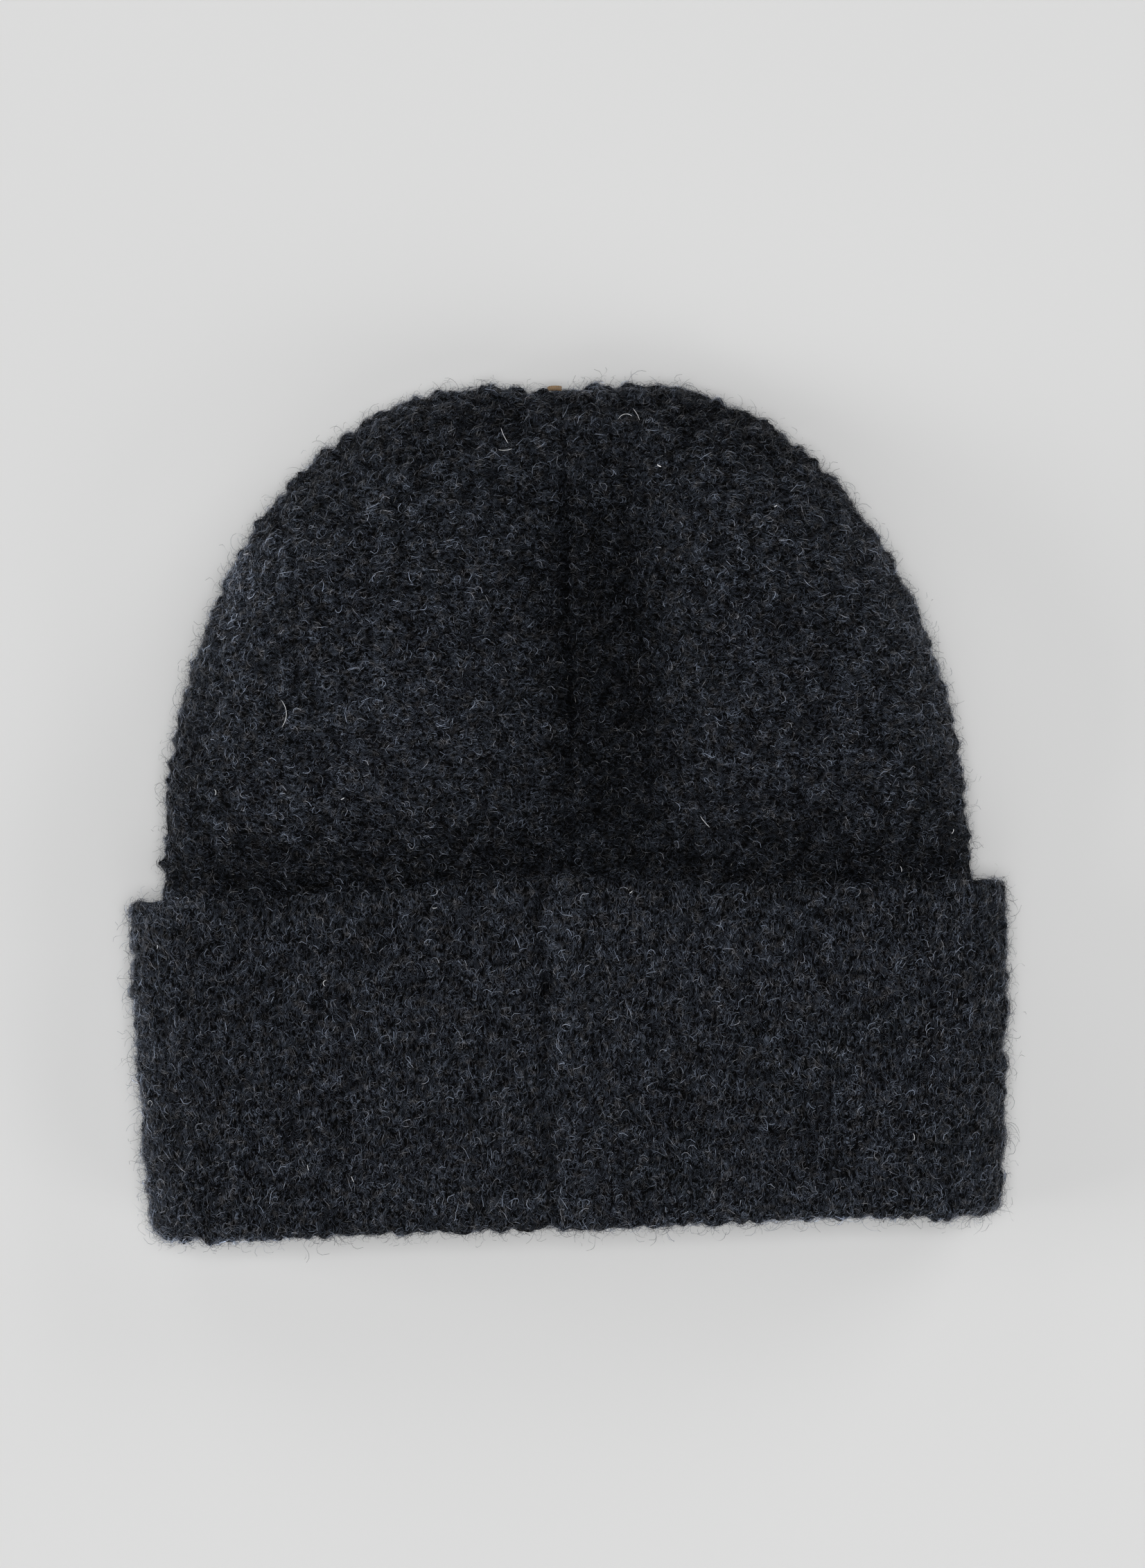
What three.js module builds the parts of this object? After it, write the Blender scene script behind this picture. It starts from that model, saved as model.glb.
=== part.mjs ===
// A cuffed beanie in thick boucle knit, lying flat on a surface as it is stored.
// Millimetres. +Z is up from the surface, +Y runs from the rim to the crown and +X across the hat.
// Heights in the tables and formulas are measured along the hat, from the rim fold towards the crown.
import * as THREE from "three";

// Driving dimensions
const wall = 4.5; // thickness of the knit
const layerGap = 0.5; // air between the crown and the cuff that is turned up over it
const seatGap = 0.3; // air where the crown's lower edge meets the cuff's turned-in lip
const middle = 113.85; // from the rim fold to the middle of the hat's length

const crownHalfWidth = 110;
const crownSpring = 92; // height where the straight sides start to curve in
const crownTop = 231; // height of the dome's outline before its middle sinks
const crownWidthPower = 2.5; // fullness of the dome's outline
const crownShoulder = 40; // distance from the folded side over which the upper wall rises
const crownHem = 11; // the same for the underside
const crownFree = 16; // distance from the cuff over which the crown's seam and dents set in

const cuffTop = 91; // height of the turned-up edge
const cuffHalfWidthAtRim = 115.5;
const cuffHalfWidthAtTop = 119;
const cuffFlareFrom = -20; // height where the cuff's flare sets in, below the rim so that it is gentle
const cuffShoulder = 34;
const cuffHem = 12;
const cuffEdge = 12; // height of the folded side above the surface
const cuffRise = 20; // upper wall above the folded side
const lipTop = 14; // height of the lip that turns in under the cuff

const seamWidth = 2.6; // the joined edges of the knit, along the upper wall
const crownSeam = { x: 1.6, depth: 1.3 };
const cuffSeam = { x: -6, depth: 1.8 };
const valleyCentre = 5; // the sunken middle between the crown's two lobes
const valleyWidth = 28.5;

// Crown sections, one row each. edge: folded side above the surface. rise: lobes above the folded side.
// valley: how far the middle sinks between the lobes. lift: underside above the surface.
const crownSections = [
  { height: 14, edge: 12, rise: 15, valley: 0, lift: 5 },
  { height: 92, edge: 12, rise: 15, valley: 0.5, lift: 5 },
  { height: 98, edge: 12, rise: 16.5, valley: 3.5, lift: 4.2 },
  { height: 108, edge: 11.5, rise: 23, valley: 9.5, lift: 1.6 },
  { height: 122, edge: 11, rise: 28, valley: 14, lift: 0 },
  { height: 150, edge: 11, rise: 30, valley: 16, lift: 0 },
  { height: 178, edge: 10.5, rise: 28, valley: 13.5, lift: 0 },
  { height: 203, edge: 10, rise: 23.5, valley: 7, lift: 0 },
  { height: 231, edge: 9.5, rise: 19, valley: 2, lift: 0 },
];

// Soft dents of the upper walls between the folds, one row each. x and height give the middle, width and
// length the reach across and along the hat. A negative depth is a swelling.
const crownDents = [
  { name: "hollow right of the seam", x: 26, height: 103, width: 24, length: 13, depth: 3.5 },
  { name: "right lobe falling to the cuff", x: 82, height: 112, width: 26, length: 20, depth: 3.5 },
  { name: "crease in the left side", x: -90, height: 117, width: 11, length: 24, depth: 2.6 },
  { name: "left lobe swelling to the cuff", x: -42, height: 112, width: 22, length: 16, depth: -2.2 },
  { name: "right lobe swelling inwards", x: 36, height: 186, width: 16, length: 24, depth: -1.8 },
];
const cuffDents = [
  { name: "slack lower left", x: -58, height: 26, width: 42, length: 22, depth: 1.5 },
  { name: "swelling at the free edge", x: 48, height: 80, width: 44, length: 18, depth: -1.2 },
  { name: "lapped edge beside the seam", x: 0, height: 74, width: 5, length: 42, depth: -1.4 },
];

// How the knit lies out of true along the hat, one row for each place. centre and width are across it.
// The shift fades in between the heights from and full, and fades out again between fade and to.
const lieShifts = [
  { name: "sunken middle", shift: -4.2, centre: 0, width: 19, from: 196, full: 230, fade: 400, to: 500 },
  { name: "cuff edge arch", shift: 3.6, centre: -8, width: 48, from: 40, full: 90, fade: 96, to: 150 },
  { name: "rim drawn up", shift: 1.6, centre: 66, width: 26, from: -40, full: -5, fade: 5, to: 60 },
  { name: "rim slack", shift: -1, centre: -98, width: 30, from: -40, full: -5, fade: 5, to: 60 },
];

// The thread that draws the crown together, showing at the sunken middle
const threadLength = 4.6;
const threadRadius = 0.8;

// Numbers of facets
const shoulderSteps = 6;
const hemSteps = 4;
const upperSteps = 14;
const lowerSteps = 8;
const crownStraightRings = 7;
const crownDomeRings = 17;
const cuffRings = 6;
const rimSteps = 6;
const freeEdgeSteps = 4;
const seamCrowding = 1.45; // draws the upper wall's facets together at the seam
const widestShoulder = 0.6; // largest share of a half width that a rounded side takes
const threadCapSteps = 4;
const threadSides = 10;

// Smooth 0 to 1 between two heights
const ramp = (from, to, height) => THREE.MathUtils.smoothstep(height, from, to);

// Quarter-ellipse rise from a folded edge, 0 at the edge and 1 from a given distance inwards
function roundOff(distance, reach) {
  const q = 1 - THREE.MathUtils.clamp(distance / reach, 0, 1);
  return Math.sqrt(1 - q * q);
}

// Bell of height 1 about a centre
const bell = (x, centre, width) => Math.exp(-(((x - centre) / width) ** 2));

// Flat-topped bell with steep sides
const plateau = (x, centre, width) => Math.exp(-(((x - centre) / width) ** 4));

// Slope of a table's column at a row, level where the column turns, so that nothing overshoots
function tableSlope(rows, column, i) {
  if (i === 0 || i === rows.length - 1) return 0;
  const before = (rows[i][column] - rows[i - 1][column]) / (rows[i].height - rows[i - 1].height);
  const after = (rows[i + 1][column] - rows[i][column]) / (rows[i + 1].height - rows[i].height);
  return before * after <= 0 ? 0 : (2 * before * after) / (before + after);
}

// A table's column at any height, as a smooth curve through the rows
function tableValue(rows, column, height) {
  const last = rows.length - 1;
  const h = THREE.MathUtils.clamp(height, rows[0].height, rows[last].height);
  let i = 0;
  while (i < last - 1 && h > rows[i + 1].height) i += 1;
  const span = rows[i + 1].height - rows[i].height;
  const t = (h - rows[i].height) / span;
  const slopeStart = tableSlope(rows, column, i) * span;
  const slopeEnd = tableSlope(rows, column, i + 1) * span;
  const start = rows[i][column];
  const end = rows[i + 1][column];
  const cubic = 2 * (start - end) + slopeStart + slopeEnd;
  const square = 3 * (end - start) - 2 * slopeStart - slopeEnd;
  return ((cubic * t + square) * t + slopeStart) * t + start;
}

// Depth of a table's dents at a point of the upper wall
function dentAt(dents, x, height) {
  const shares = dents.map((d) => d.depth * bell(x, d.x, d.width) * bell(height, d.height, d.length));
  return shares.reduce((sum, depth) => sum + depth, 0);
}

// The lie of the knit: moves a point along the hat by the shifts in the table
function lieAt(x, height) {
  let shifted = height;
  for (const row of lieShifts) {
    const share = ramp(row.from, row.full, height) * (1 - ramp(row.fade, row.to, height));
    shifted += row.shift * share * bell(x, row.centre, row.width);
  }
  return shifted;
}

const lying = (x, height, z) => new THREE.Vector3(x, lieAt(x, height) - middle, z);

// Positions across the upper or lower wall from one folded side to the other, close together at the sides.
// A crowding above 1 draws them together in the middle too.
function across(halfWidth, reach, edgeSteps, flatSteps, crowding) {
  const edgeReach = Math.min(reach, widestShoulder * halfWidth);
  const flatHalf = halfWidth - edgeReach;
  const right = [];
  for (let i = 0; i < edgeSteps; i += 1) {
    right.push(halfWidth - edgeReach * (1 - Math.cos((i / edgeSteps) * (Math.PI / 2))));
  }
  for (let i = flatSteps / 2; i > 0; i -= 1) {
    right.push(flatHalf * ((2 * i) / flatSteps) ** crowding);
  }
  return [...right, 0, ...right.map((x) => -x).reverse()];
}

// One closed ring of a flattened tube: the upper wall from right to left, then the underside back.
// The upper wall's points are crowded at the seam.
function flattenedRing(halfWidth, height, seamX, reachUp, reachDown, upperZ, lowerZ) {
  const towardsSeam = (x) => x + seamX * (1 - (x / halfWidth) ** 2);
  const upper = across(halfWidth, reachUp, shoulderSteps, upperSteps, seamCrowding).map(towardsSeam);
  const lower = across(halfWidth, reachDown, hemSteps, lowerSteps, 1).slice(1, -1).reverse();
  return [
    ...upper.map((x) => lying(x, height, upperZ(x))),
    ...lower.map((x) => lying(x, height, lowerZ(x))),
  ];
}

// Half width of the crown at a height, for a wall surface set in by inset from the outside
function crownWidthAt(height, inset) {
  const along = Math.max(0, height - crownSpring) / (crownTop - crownSpring - inset);
  return (crownHalfWidth - inset) * Math.max(0, 1 - along * along) ** (1 / crownWidthPower);
}

// Distance from a point to the crown's outline, close to true near the outline, which is where it is used
function crownEdgeDistance(x, height, inset) {
  const halfWidth = crownHalfWidth - inset;
  const length = crownTop - crownSpring - inset;
  if (height <= crownSpring) return halfWidth - Math.abs(x);
  const share = Math.abs(x) / halfWidth;
  const along = (height - crownSpring) / length;
  const inside = 1 - share ** crownWidthPower - along * along;
  const slopeAcross = (crownWidthPower * share ** (crownWidthPower - 1)) / halfWidth;
  const slopeAlong = (2 * along) / length;
  return Math.max(0, inside) / Math.max(1e-4, Math.hypot(slopeAcross, slopeAlong));
}

// One ring of the crown's wall: the outside with no inset, the inside with the wall's thickness
function crownRing(height, inset) {
  const row = (column) => tableValue(crownSections, column, height);
  const edge = row("edge");
  const rise = row("rise");
  const valley = row("valley");
  const lift = row("lift");
  const free = ramp(crownSpring, crownSpring + crownFree, height);
  const upperZ = (x) => {
    const seam = crownSeam.depth * bell(x, crownSeam.x, seamWidth);
    const dents = seam + dentAt(crownDents, x, height);
    const sunk = valley * plateau(x, valleyCentre, valleyWidth) + free * dents;
    const away = crownEdgeDistance(x, height, inset);
    return edge + (rise - sunk - inset) * roundOff(away, crownShoulder - inset);
  };
  const lowerZ = (x) => {
    const away = crownEdgeDistance(x, height, inset);
    return edge - (edge - lift - inset) * roundOff(away, crownHem - inset);
  };
  const halfWidth = crownWidthAt(height, inset);
  const reachUp = crownShoulder - inset;
  const reachDown = crownHem - inset;
  return flattenedRing(halfWidth, height, crownSeam.x, reachUp, reachDown, upperZ, lowerZ);
}

// Heights of the crown's rings from the lower edge to just under the top, closer together towards the top
function crownHeights(inset) {
  const heights = [];
  const lowest = lipTop + seatGap;
  for (let i = 0; i < crownStraightRings; i += 1) {
    heights.push(lowest + ((crownSpring - lowest) * i) / crownStraightRings);
  }
  for (let i = 0; i < crownDomeRings; i += 1) {
    const turn = ((i / crownDomeRings) * Math.PI) / 2;
    heights.push(crownSpring + (crownTop - crownSpring - inset) * Math.sin(turn));
  }
  return heights;
}

// The single point that closes the crown's outside or inside at the top
function crownPole(inset) {
  const height = crownTop - inset;
  return [lying(0, height, tableValue(crownSections, "edge", height))];
}

// Half width of the cuff at a height: it flares towards its free edge
function cuffWidthAt(height) {
  return THREE.MathUtils.lerp(cuffHalfWidthAtRim, cuffHalfWidthAtTop, ramp(cuffFlareFrom, cuffTop, height));
}

// One ring of the cuff at a depth below its outside
function cuffRing(height, inset) {
  const halfWidth = cuffWidthAt(height) - inset;
  const outer = 1 - ramp(0, wall, inset); // dents fade out through the wall, clear of the crown inside
  const reachUp = cuffShoulder - inset;
  const reachDown = cuffHem - inset;
  const upperZ = (x) => {
    const seam = cuffSeam.depth * bell(x, cuffSeam.x, seamWidth);
    const sunk = outer * (seam + dentAt(cuffDents, x, height));
    return cuffEdge + (cuffRise - sunk - inset) * roundOff(halfWidth - Math.abs(x), reachUp);
  };
  const lowerZ = (x) => cuffEdge - (cuffEdge - inset) * roundOff(halfWidth - Math.abs(x), reachDown);
  return flattenedRing(halfWidth, height, cuffSeam.x, reachUp, reachDown, upperZ, lowerZ);
}

// The cuff's profile as depth below its outside against height: down the outside, round the rim fold,
// up the turned-in lip, down into the fold and up the inside to the rounded free edge
function cuffProfile() {
  const rimRadius = wall + layerGap / 2;
  const edgeRadius = wall / 2;
  const profile = [];
  const arc = (inset, height, radius, fromTurn, toTurn, steps) => {
    for (let i = 0; i <= steps; i += 1) {
      const turn = THREE.MathUtils.lerp(fromTurn, toTurn, i / steps) * Math.PI;
      profile.push({ inset: inset - radius * Math.cos(turn), height: height - radius * Math.sin(turn) });
    }
  };
  const straight = (inset, fromHeight, toHeight, steps) => {
    for (let i = 1; i < steps; i += 1) {
      profile.push({ inset, height: THREE.MathUtils.lerp(fromHeight, toHeight, i / steps) });
    }
  };
  straight(0, cuffTop - edgeRadius, rimRadius, cuffRings);
  arc(rimRadius, rimRadius, rimRadius, 0, 1, rimSteps);
  profile.push({ inset: 2 * rimRadius, height: lipTop });
  profile.push({ inset: wall + layerGap, height: lipTop });
  profile.push({ inset: wall + layerGap, height: rimRadius });
  profile.push({ inset: wall, height: rimRadius });
  straight(wall, rimRadius, cuffTop - edgeRadius, cuffRings);
  arc(edgeRadius, cuffTop - edgeRadius, edgeRadius, -1, 0, freeEdgeSteps);
  return profile.map((p) => ({ ...p, inset: Math.max(0, p.inset) }));
}

// A closed surface through rings of points. A ring of one point closes an end. A looped list of rings
// joins its last ring to its first.
function loftGeometry(rings, looped) {
  const positions = [];
  const indices = [];
  const starts = rings.map((ring) => {
    const start = positions.length / 3;
    ring.forEach((p) => positions.push(p.x, p.y, p.z));
    return start;
  });
  const bands = looped ? rings.length : rings.length - 1;
  for (let r = 0; r < bands; r += 1) {
    const next = (r + 1) % rings.length;
    const count = Math.max(rings[r].length, rings[next].length);
    const here = (i) => starts[r] + (i % rings[r].length);
    const there = (i) => starts[next] + (i % rings[next].length);
    for (let i = 0; i < count; i += 1) {
      if (rings[r].length > 1) indices.push(here(i), here(i + 1), there(i));
      if (rings[next].length > 1) indices.push(here(i + 1), there(i + 1), there(i));
    }
  }
  const geometry = new THREE.BufferGeometry();
  geometry.setAttribute("position", new THREE.Float32BufferAttribute(positions, 3));
  geometry.setIndex(indices);
  geometry.computeVertexNormals();
  return geometry;
}

// Crown: the bag of knit, from its lower edge inside the cuff to the drawn-together top
function crownGeometry() {
  const outside = crownHeights(0).map((height) => crownRing(height, 0));
  const inside = crownHeights(wall).map((height) => crownRing(height, wall));
  return loftGeometry([crownPole(0), ...outside.reverse(), ...inside, crownPole(wall)], false);
}

// Cuff: the same knit turned up around the outside, with the rim fold and its turned-in lip
function cuffGeometry() {
  return loftGeometry(cuffProfile().map((p) => cuffRing(p.height, p.inset)), true);
}

// Gathering thread: a short stitch across the sunken middle of the crown
function threadMesh(material) {
  const straight = threadLength - 2 * threadRadius;
  const stitch = new THREE.CapsuleGeometry(threadRadius, straight, threadCapSteps, threadSides);
  stitch.rotateZ(Math.PI / 2);
  const mesh = new THREE.Mesh(stitch, material);
  const seat = crownPole(0)[0];
  mesh.position.set(seat.x, seat.y + seatGap + threadRadius, seat.z);
  return mesh;
}

const knitMaterial = new THREE.MeshStandardMaterial({ color: 0x24262a, roughness: 0.95, metalness: 0 });
const threadMaterial = new THREE.MeshStandardMaterial({ color: 0xa9834f, roughness: 0.85, metalness: 0 });

const crown = new THREE.Mesh(crownGeometry(), knitMaterial);
crown.name = "crown";

const cuff = new THREE.Mesh(cuffGeometry(), knitMaterial.clone());
cuff.name = "cuff";

const gatherThread = threadMesh(threadMaterial);
gatherThread.name = "gather_thread";

const beanie = new THREE.Group();
beanie.add(crown, cuff, gatherThread);

export default beanie;
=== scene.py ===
import math

import bmesh
import bpy
import numpy as np
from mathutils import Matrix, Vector
from mathutils.bvhtree import BVHTree


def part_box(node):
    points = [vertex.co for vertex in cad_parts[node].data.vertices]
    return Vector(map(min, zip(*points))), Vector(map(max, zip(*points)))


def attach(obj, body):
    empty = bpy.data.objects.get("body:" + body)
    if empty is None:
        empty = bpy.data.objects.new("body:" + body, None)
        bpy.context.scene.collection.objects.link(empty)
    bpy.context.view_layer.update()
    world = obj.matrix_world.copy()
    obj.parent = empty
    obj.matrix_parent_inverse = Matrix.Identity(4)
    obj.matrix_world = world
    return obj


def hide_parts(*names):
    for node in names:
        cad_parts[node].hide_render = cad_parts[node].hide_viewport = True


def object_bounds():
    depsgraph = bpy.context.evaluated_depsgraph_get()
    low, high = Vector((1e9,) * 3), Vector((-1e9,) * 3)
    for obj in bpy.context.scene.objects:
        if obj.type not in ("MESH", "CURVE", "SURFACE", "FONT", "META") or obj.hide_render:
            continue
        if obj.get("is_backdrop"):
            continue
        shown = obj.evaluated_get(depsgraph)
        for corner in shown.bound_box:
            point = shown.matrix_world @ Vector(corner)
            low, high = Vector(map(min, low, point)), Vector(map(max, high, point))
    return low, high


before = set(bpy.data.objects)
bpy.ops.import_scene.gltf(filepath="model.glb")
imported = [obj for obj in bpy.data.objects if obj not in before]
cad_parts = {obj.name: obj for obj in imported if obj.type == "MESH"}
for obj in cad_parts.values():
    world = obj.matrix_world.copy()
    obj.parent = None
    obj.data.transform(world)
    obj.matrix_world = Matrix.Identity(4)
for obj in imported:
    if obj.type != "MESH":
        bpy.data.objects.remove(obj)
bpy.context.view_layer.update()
mm = 0.001


# small helpers for node trees and pieces

def put(tree, kind, inputs=None, **settings):
    node = tree.nodes.new(kind)
    for name, value in settings.items():
        setattr(node, name, value)
    for key, value in (inputs or {}).items():
        if isinstance(value, bpy.types.NodeSocket):
            tree.links.new(value, node.inputs[key])
        else:
            node.inputs[key].default_value = value
    return node


def math2(tree, operation, a, b=0.0, c=0.0):
    return put(tree, "ShaderNodeMath", {0: a, 1: b, 2: c}, operation=operation).outputs[0]


def ramp(tree, value, fromMin, fromMax, toMin=0.0, toMax=1.0, kind="LINEAR"):
    values = {"Value": value, "From Min": fromMin, "From Max": fromMax, "To Min": toMin, "To Max": toMax}
    return put(tree, "ShaderNodeMapRange", values, interpolation_type=kind).outputs[0]


def noise(tree, place, scale, detail, roughness=0.5):
    values = {"Vector": place, "Scale": scale, "Detail": detail, "Roughness": roughness}
    return put(tree, "ShaderNodeTexNoise", values).outputs


def readMark(tree, name):
    mark = put(tree, "GeometryNodeInputNamedAttribute", {"Name": name}, data_type="FLOAT")
    return mark.outputs["Attribute"]


def storeMark(tree, geometry, name, value, domain):
    values = {"Geometry": geometry, "Name": name, "Value": value}
    return put(tree, "GeometryNodeStoreNamedAttribute", values, data_type="FLOAT", domain=domain).outputs[0]


def newGeoTree(name, sizes):
    tree = bpy.data.node_groups.new(name, "GeometryNodeTree")
    tree.interface.new_socket("Geometry", in_out="INPUT", socket_type="NodeSocketGeometry")
    for label, kind in sizes:
        tree.interface.new_socket(label, in_out="INPUT", socket_type="NodeSocket" + kind)
    tree.interface.new_socket("Geometry", in_out="OUTPUT", socket_type="NodeSocketGeometry")
    source = tree.nodes.new("NodeGroupInput").outputs
    target = tree.nodes.new("NodeGroupOutput").inputs
    return tree, source, target


# the tree's result as a plain mesh, with the modifier gone again
def meshFromTree(piece, tree, values):
    modifier = piece.modifiers.new(tree.name, "NODES")
    modifier.node_group = tree
    for item in tree.interface.items_tree:
        if item.in_out == "INPUT" and item.name in values:
            modifier[item.identifier] = values[item.name]
    graph = bpy.context.evaluated_depsgraph_get()
    made = bpy.data.meshes.new_from_object(piece.evaluated_get(graph), depsgraph=graph)
    piece.modifiers.remove(modifier)
    return made


def addPiece(name, mesh):
    mesh.name = name
    piece = bpy.data.objects.new(name, mesh)
    bpy.context.scene.collection.objects.link(piece)
    return piece


# camera, straight above the hat and turned a little, as the picture was taken
photoView = {
    "lens": 120.0,
    "sensor": 36.0,
    "centre": (2.1 * mm, 6.15 * mm),
    "frameHeight": 427 * mm,      # what the picture's height covers at the height of the folded sides
    "sideHeight": 12 * mm,
    "turn": -1.5,
    "clipEnd": 20.0,
}


def addCamera(v):
    data = bpy.data.cameras.new("overheadCamera")
    data.lens = v["lens"]
    data.sensor_width = v["sensor"]
    data.clip_end = v["clipEnd"]
    camera = bpy.data.objects.new("overheadCamera", data)
    away = v["frameHeight"] * v["lens"] / v["sensor"]
    camera.location = (*v["centre"], v["sideHeight"] + away)
    camera.rotation_euler = (0, 0, math.radians(v["turn"]))
    bpy.context.scene.collection.objects.link(camera)
    bpy.context.scene.camera = camera


studio = {
    "floorSize": 2.8,
    "floorColor": (0.73, 0.73, 0.728, 1),
    "floorRoughness": 0.7,
    "floorSpecular": 0.2,
    "roomColor": (0.98, 0.99, 1.0, 1),
    "ambient": 0.04,
    "backdrop": 0.6,
    # name, way it stands (degrees from +X), height angle, distance, size, watts
    "softboxes": [
        ("overheadSoftbox", 0, 90, 2.6, 1.3, 41),
        ("leftSoftbox", 182, 15, 2.2, 1.3, 26),
        ("backLeftSoftbox", 120, 14, 2.2, 1.3, 6),
        ("backRightSoftbox", 40, 16, 2.2, 1.3, 15),
        ("frontRightSoftbox", 320, 16, 2.2, 1.3, 13),
        ("frontSoftbox", 270, 38, 2.2, 1.3, 7),
    ],
}


def addStudio(v):
    half = v["floorSize"] / 2
    mesh = bpy.data.meshes.new("floor")
    corners = [(-half, -half, 0), (half, -half, 0), (half, half, 0), (-half, half, 0)]
    mesh.from_pydata(corners, [], [(0, 1, 2, 3)])
    floor = addPiece("floor", mesh)
    paper = bpy.data.materials.new("palePaper")
    paper.use_nodes = True
    shader = paper.node_tree.nodes["Principled BSDF"]
    shader.inputs["Base Color"].default_value = v["floorColor"]
    shader.inputs["Roughness"].default_value = v["floorRoughness"]
    shader.inputs["Specular IOR Level"].default_value = v["floorSpecular"]
    mesh.materials.append(paper)
    floor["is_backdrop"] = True
    for name, way, height, distance, size, watts in v["softboxes"]:
        data = bpy.data.lights.new(name, "AREA")
        data.shape = "SQUARE"
        data.size = size
        data.energy = watts
        lamp = bpy.data.objects.new(name, data)
        a, e = math.radians(way), math.radians(height)
        back = Vector((math.cos(a) * math.cos(e), math.sin(a) * math.cos(e), math.sin(e)))
        lamp.location = back * distance
        lamp.rotation_euler = (-back).to_track_quat("-Z", "Y").to_euler()
        bpy.context.scene.collection.objects.link(lamp)
    world = bpy.data.worlds.new("softRoom")
    world.use_nodes = True
    tree = world.node_tree
    # pale where it is seen behind the floor, yet little light comes from it
    seen = put(tree, "ShaderNodeLightPath").outputs["Is Camera Ray"]
    strength = ramp(tree, seen, 0.0, 1.0, v["ambient"], v["backdrop"])
    tree.links.new(strength, tree.nodes["Background"].inputs["Strength"])
    tree.nodes["Background"].inputs["Color"].default_value = v["roomColor"]
    bpy.context.scene.world = world
    bpy.context.scene.view_settings.view_transform = "Standard"


addCamera(photoView)
addStudio(studio)
print("camera, floor and light are set")


# black wool: near-black with a blue cast, browner here and there
woolTones = {
    "blue": (0.0196, 0.0230, 0.0300, 1),
    "warm": (0.0250, 0.0252, 0.0275, 1),
    "castSize": 2.4 * mm,
    "warmFrom": 0.5,
    "warmFull": 0.68,
}


def woolToneGroup(v):
    tree = bpy.data.node_groups.new("woolTone", "ShaderNodeTree")
    tree.interface.new_socket("Brightness", in_out="INPUT", socket_type="NodeSocketFloat")
    tree.interface.new_socket("Color", in_out="OUTPUT", socket_type="NodeSocketColor")
    source = tree.nodes.new("NodeGroupInput").outputs
    target = tree.nodes.new("NodeGroupOutput").inputs
    place = put(tree, "ShaderNodeTexCoord").outputs["Object"]
    casts = noise(tree, place, 1 / v["castSize"], 2.0)["Fac"]
    cast = ramp(tree, casts, v["warmFrom"], v["warmFull"])
    tinted = put(tree, "ShaderNodeMix", {0: cast, 6: v["blue"], 7: v["warm"]}, data_type="RGBA").outputs[2]
    bright = {0: tinted, "Scale": source["Brightness"]}
    bright = put(tree, "ShaderNodeVectorMath", bright, operation="SCALE").outputs[0]
    tree.links.new(bright, target["Color"])
    return tree


# curled strands lying side by side: level lines of a soft noise, broken into short runs
strandForm = {"roughness": 0.35, "core": 0.03, "edge": 0.28, "dimmest": 0.2,
              "runScale": 2.6, "runFrom": 0.4, "runFull": 0.62}


def woolStrandsGroup(v):
    tree = bpy.data.node_groups.new("woolStrands", "ShaderNodeTree")
    for label in ("Curl Size", "Strands", "Shift"):
        tree.interface.new_socket(label, in_out="INPUT", socket_type="NodeSocketFloat")
    tree.interface.new_socket("Run", in_out="INPUT", socket_type="NodeSocketVector")
    tree.interface.new_socket("Strand", in_out="OUTPUT", socket_type="NodeSocketFloat")
    source = tree.nodes.new("NodeGroupInput").outputs
    target = tree.nodes.new("NodeGroupOutput").inputs
    place = put(tree, "ShaderNodeTexCoord").outputs["Object"]
    run = put(tree, "ShaderNodeVectorMath", {0: place, 1: source["Run"]}, operation="MULTIPLY").outputs[0]
    inverse = math2(tree, "DIVIDE", 1.0, source["Curl Size"])
    sized = put(tree, "ShaderNodeVectorMath", {0: run, "Scale": inverse}, operation="SCALE").outputs[0]
    shift = put(tree, "ShaderNodeCombineXYZ", {axis: source["Shift"] for axis in range(3)}).outputs[0]
    spot = put(tree, "ShaderNodeVectorMath", {0: sized, 1: shift}, operation="ADD").outputs[0]
    field = noise(tree, spot, 1.0, 1.0, v["roughness"])["Fac"]
    lines = math2(tree, "MULTIPLY", field, source["Strands"])
    across = math2(tree, "ABSOLUTE", math2(tree, "SUBTRACT", math2(tree, "FRACT", lines), 0.5))
    line = ramp(tree, across, v["core"], v["edge"], 1.0, 0.0, "SMOOTHSTEP")
    number = {"W": math2(tree, "FLOOR", lines)}
    own = put(tree, "ShaderNodeTexWhiteNoise", number, noise_dimensions="1D").outputs["Value"]
    breaks = noise(tree, spot, v["runScale"], 0.0)["Fac"]
    piece = ramp(tree, breaks, v["runFrom"], v["runFull"])
    shade = math2(tree, "MULTIPLY_ADD", own, 1 - v["dimmest"], v["dimmest"])
    level = math2(tree, "MULTIPLY", shade, piece)
    tree.links.new(math2(tree, "MULTIPLY", line, level), target["Strand"])
    return tree


woolTone = woolToneGroup(woolTones)
woolStrands = woolStrandsGroup(strandForm)
woolSheen = {
    "knit": {"roughness": 0.9, "specular": 0.05},
    "fibre": {"roughness": 0.38, "specular": 0.55},
}


def woolMaterial(name, roughness, specular):
    material = bpy.data.materials.new(name)
    material.use_nodes = True
    tree = material.node_tree
    shader = tree.nodes["Principled BSDF"]
    shader.inputs["Roughness"].default_value = roughness
    shader.inputs["Specular IOR Level"].default_value = specular
    tone = put(tree, "ShaderNodeGroup", {}, node_tree=woolTone)
    tree.links.new(tone.outputs["Color"], shader.inputs["Base Color"])
    return material, tree, shader, tone


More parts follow.
